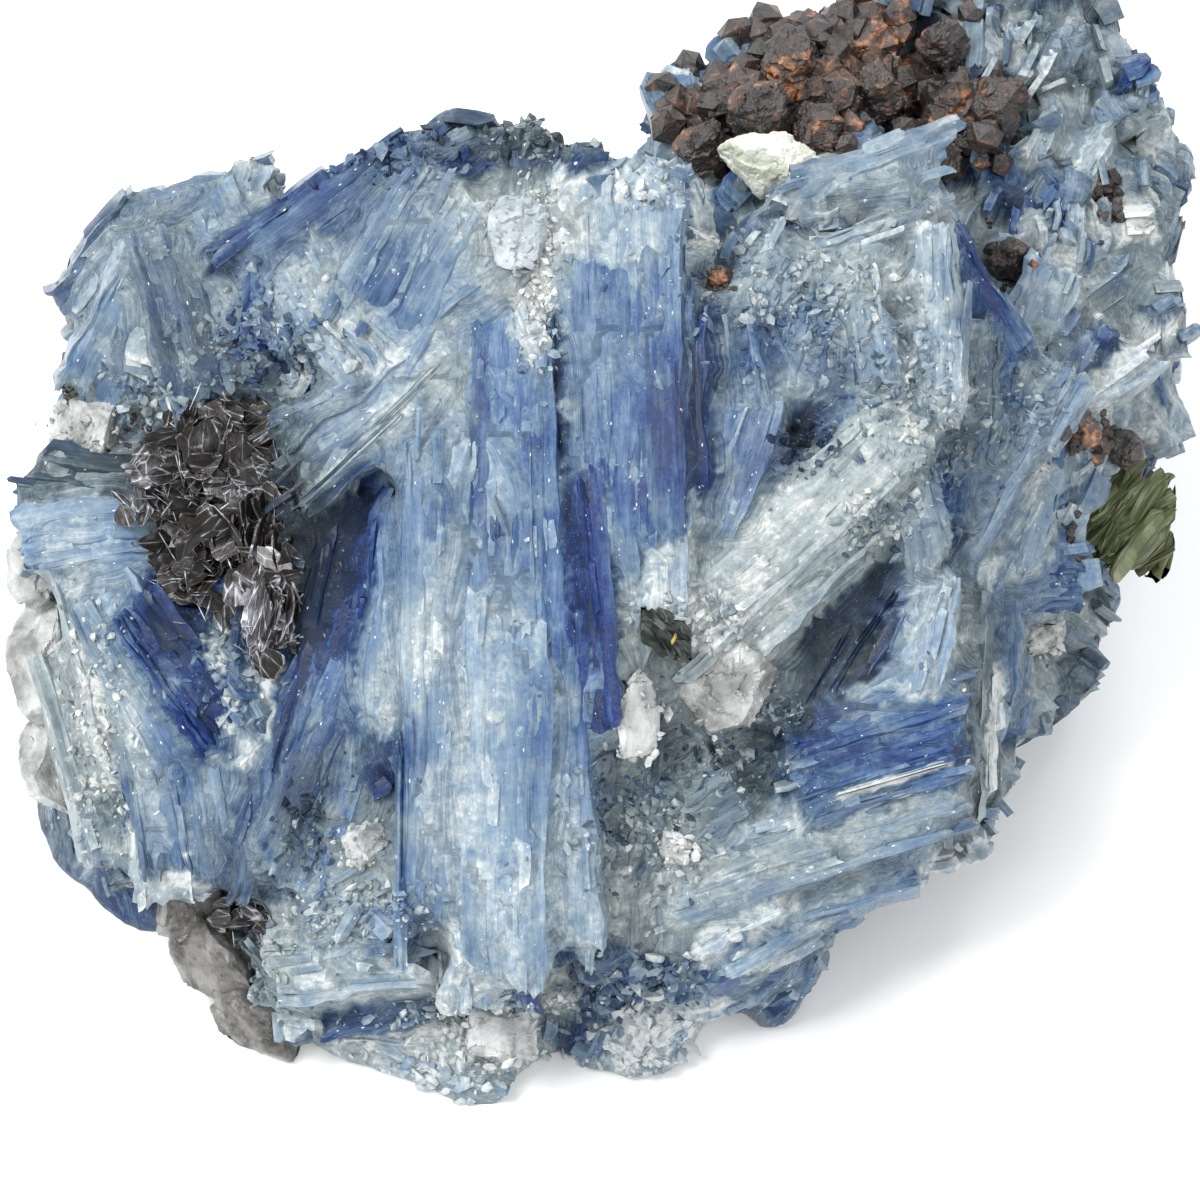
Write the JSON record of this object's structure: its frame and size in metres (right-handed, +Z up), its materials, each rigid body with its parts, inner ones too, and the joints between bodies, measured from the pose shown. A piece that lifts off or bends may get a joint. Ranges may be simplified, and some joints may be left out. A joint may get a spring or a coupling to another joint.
{
  "type": "kyanite blade cluster",
  "caption": "Hand-sized lump of intergrown long flat mineral blades, with mica, quartz and garnet grains in pockets; it lies on its flat broken underside.",
  "frame": {"origin": "the middle of the cluster seen from above, on the level of its flat broken underside", "axes": "+Z up, away from the underside; the broad leaning blade face looks towards -Y and +Z; +X is right as seen from in front of that face"},
  "size_m": [0.0678, 0.0674, 0.0383],
  "materials": {
    "kyanite": "natural, striated, pearly",
    "quartz": "natural, cloudy, broken",
    "feldspar": "natural, dull",
    "mica": "natural, smoky, shiny sheets",
    "garnet": "natural, rust-stained",
    "hornblende": "natural, splintery",
    "green_mica": "natural, fibrous"
  },
  "bodies": {
    "root": {"kyanite_blades": "kyanite", "quartz_crest": "quartz", "quartz_wedge": "quartz", "quartz_centre": "quartz", "quartz_band": "quartz", "quartz_foot": "quartz", "quartz_left": "quartz", "quartz_right": "quartz", "quartz_spot": "quartz", "feldspar": "feldspar", "mica_book_upper": "mica", "mica_book_middle": "mica", "mica_book_lower": "mica", "mica_book_outer": "mica", "hornblende": "hornblende", "green_mica": "green_mica", "garnet_1": "garnet", "garnet_2": "garnet", "garnet_3": "garnet", "garnet_4": "garnet", "garnet_5": "garnet", "garnet_6": "garnet", "garnet_7": "garnet", "garnet_8": "garnet", "garnet_9": "garnet", "garnet_10": "garnet", "garnet_11": "garnet", "garnet_12": "garnet", "garnet_13": "garnet"}
  },
  "joints": []
}
